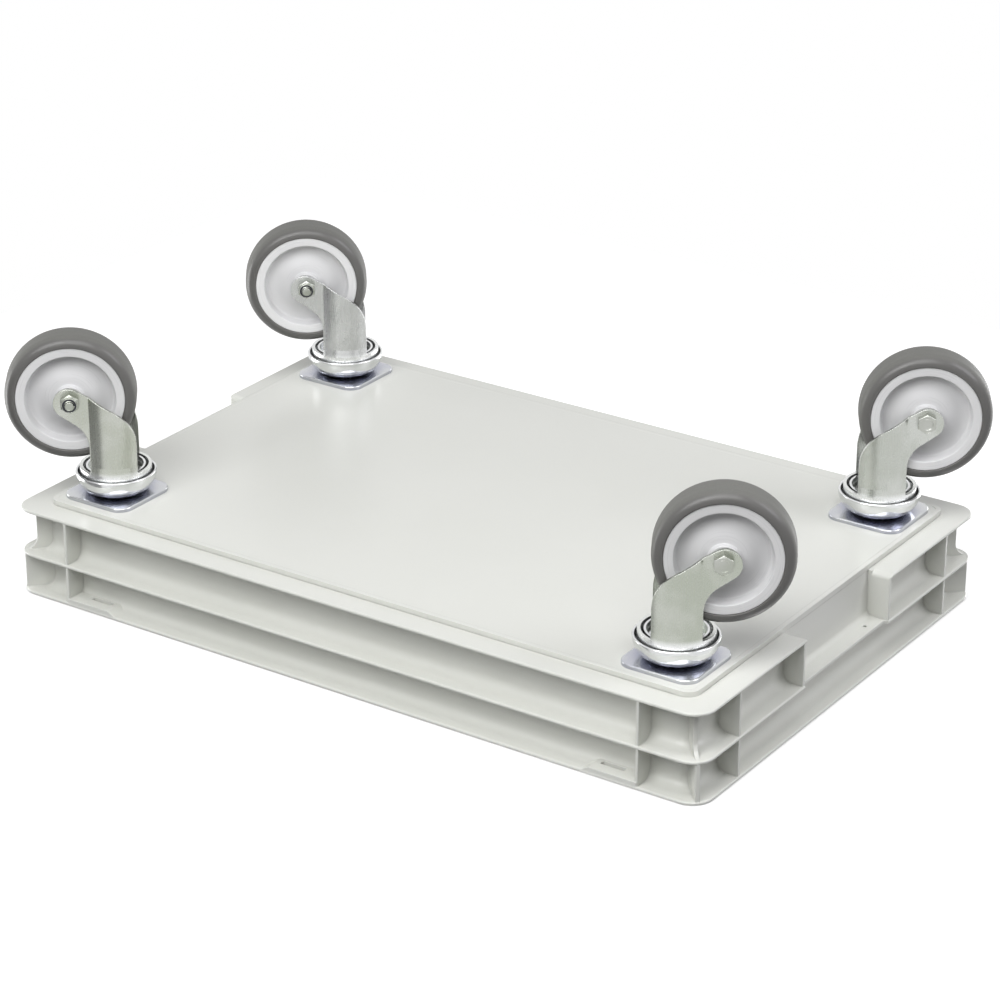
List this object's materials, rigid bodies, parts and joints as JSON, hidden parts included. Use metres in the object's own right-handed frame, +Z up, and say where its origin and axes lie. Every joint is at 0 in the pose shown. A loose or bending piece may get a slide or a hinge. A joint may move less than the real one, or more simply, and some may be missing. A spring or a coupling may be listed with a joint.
{
  "type": "crate dolly",
  "caption": "Shallow ribbed stacking tray, open at the top, on swivel casters with grey tyres: a low dolly for rolling stacks of standard plastic crates.",
  "frame": {"origin": "on the floor under the centre of the tray, with all wheels standing at Z = 0", "axes": "+X along the tray's long side to the right, +Y to the rear, +Z up out of the tray's open top"},
  "size_m": [0.6323, 0.401, 0.2033],
  "materials": {
    "tray_plastic": "satin moulded plastic, warm light grey",
    "zinc_steel": "bright zinc plated pressed steel",
    "bearing_steel": "polished",
    "locking_nylon": "dark nylon",
    "wheel_plastic": "satin moulded plastic, light grey",
    "tyre_rubber": "smooth grey non-marking rubber"
  },
  "bodies": {
    "tray": {"tray": "tray_plastic", "mounting_bolts": "zinc_steel", "mounting_washers": "zinc_steel", "mounting_nuts": "zinc_steel", "front_left_plate": "zinc_steel", "front_left_upper_race": "zinc_steel", "front_left_upper_balls": "bearing_steel", "front_left_lower_balls": "bearing_steel", "front_left_lower_race": "zinc_steel", "front_left_king_pin": "zinc_steel", "front_right_plate": "zinc_steel", "front_right_upper_race": "zinc_steel", "front_right_upper_balls": "bearing_steel", "front_right_lower_balls": "bearing_steel", "front_right_lower_race": "zinc_steel", "front_right_king_pin": "zinc_steel", "rear_left_plate": "zinc_steel", "rear_left_upper_race": "zinc_steel", "rear_left_upper_balls": "bearing_steel", "rear_left_lower_balls": "bearing_steel", "rear_left_lower_race": "zinc_steel", "rear_left_king_pin": "zinc_steel", "rear_right_plate": "zinc_steel", "rear_right_upper_race": "zinc_steel", "rear_right_upper_balls": "bearing_steel", "rear_right_lower_balls": "bearing_steel", "rear_right_lower_race": "zinc_steel", "rear_right_king_pin": "zinc_steel"},
    "front_left_fork": {"front_left_fork": "zinc_steel", "front_left_axle_bolt": "zinc_steel", "front_left_axle_nut": "zinc_steel", "front_left_nut_insert": "locking_nylon", "front_left_axle_sleeve": "zinc_steel"},
    "front_left_wheel": {"front_left_wheel": "wheel_plastic", "front_left_tyre": "tyre_rubber"},
    "front_right_fork": {"front_right_fork": "zinc_steel", "front_right_axle_bolt": "zinc_steel", "front_right_axle_nut": "zinc_steel", "front_right_nut_insert": "locking_nylon", "front_right_axle_sleeve": "zinc_steel"},
    "front_right_wheel": {"front_right_wheel": "wheel_plastic", "front_right_tyre": "tyre_rubber"},
    "rear_left_fork": {"rear_left_fork": "zinc_steel", "rear_left_axle_bolt": "zinc_steel", "rear_left_axle_nut": "zinc_steel", "rear_left_nut_insert": "locking_nylon", "rear_left_axle_sleeve": "zinc_steel"},
    "rear_left_wheel": {"rear_left_wheel": "wheel_plastic", "rear_left_tyre": "tyre_rubber"},
    "rear_right_fork": {"rear_right_fork": "zinc_steel", "rear_right_axle_bolt": "zinc_steel", "rear_right_axle_nut": "zinc_steel", "rear_right_nut_insert": "locking_nylon", "rear_right_axle_sleeve": "zinc_steel"},
    "rear_right_wheel": {"rear_right_wheel": "wheel_plastic", "rear_right_tyre": "tyre_rubber"}
  },
  "joints": [
    {"name": "front_left_swivel", "type": "hinge", "parent": "tray", "child": "front_left_fork", "pos_m": [-0.245, -0.1435, 0.1273], "axis": [0, 0, 1], "continuous": true},
    {"name": "front_left_roll", "type": "hinge", "parent": "front_left_fork", "child": "front_left_wheel", "pos_m": [-0.27123, -0.12854, 0.0485], "axis": [-0.4955, -0.8686, 0], "continuous": true},
    {"name": "front_right_swivel", "type": "hinge", "parent": "tray", "child": "front_right_fork", "pos_m": [0.245, -0.1435, 0.1273], "axis": [0, 0, 1], "continuous": true},
    {"name": "front_right_roll", "type": "hinge", "parent": "front_right_fork", "child": "front_right_wheel", "pos_m": [0.26886, -0.16201, 0.0485], "axis": [0.6129, 0.7902, 0], "continuous": true},
    {"name": "rear_left_swivel", "type": "hinge", "parent": "tray", "child": "rear_left_fork", "pos_m": [-0.245, 0.1435, 0.1273], "axis": [0, 0, 1], "continuous": true},
    {"name": "rear_left_roll", "type": "hinge", "parent": "rear_left_fork", "child": "rear_left_wheel", "pos_m": [-0.27089, 0.15905, 0.0485], "axis": [-0.515, -0.8572, 0], "continuous": true},
    {"name": "rear_right_swivel", "type": "hinge", "parent": "tray", "child": "rear_right_fork", "pos_m": [0.245, 0.1435, 0.1273], "axis": [0, 0, 1], "continuous": true},
    {"name": "rear_right_roll", "type": "hinge", "parent": "rear_right_fork", "child": "rear_right_wheel", "pos_m": [0.26893, 0.12507, 0.0485], "axis": [0.6101, 0.7923, 0], "continuous": true}
  ]
}
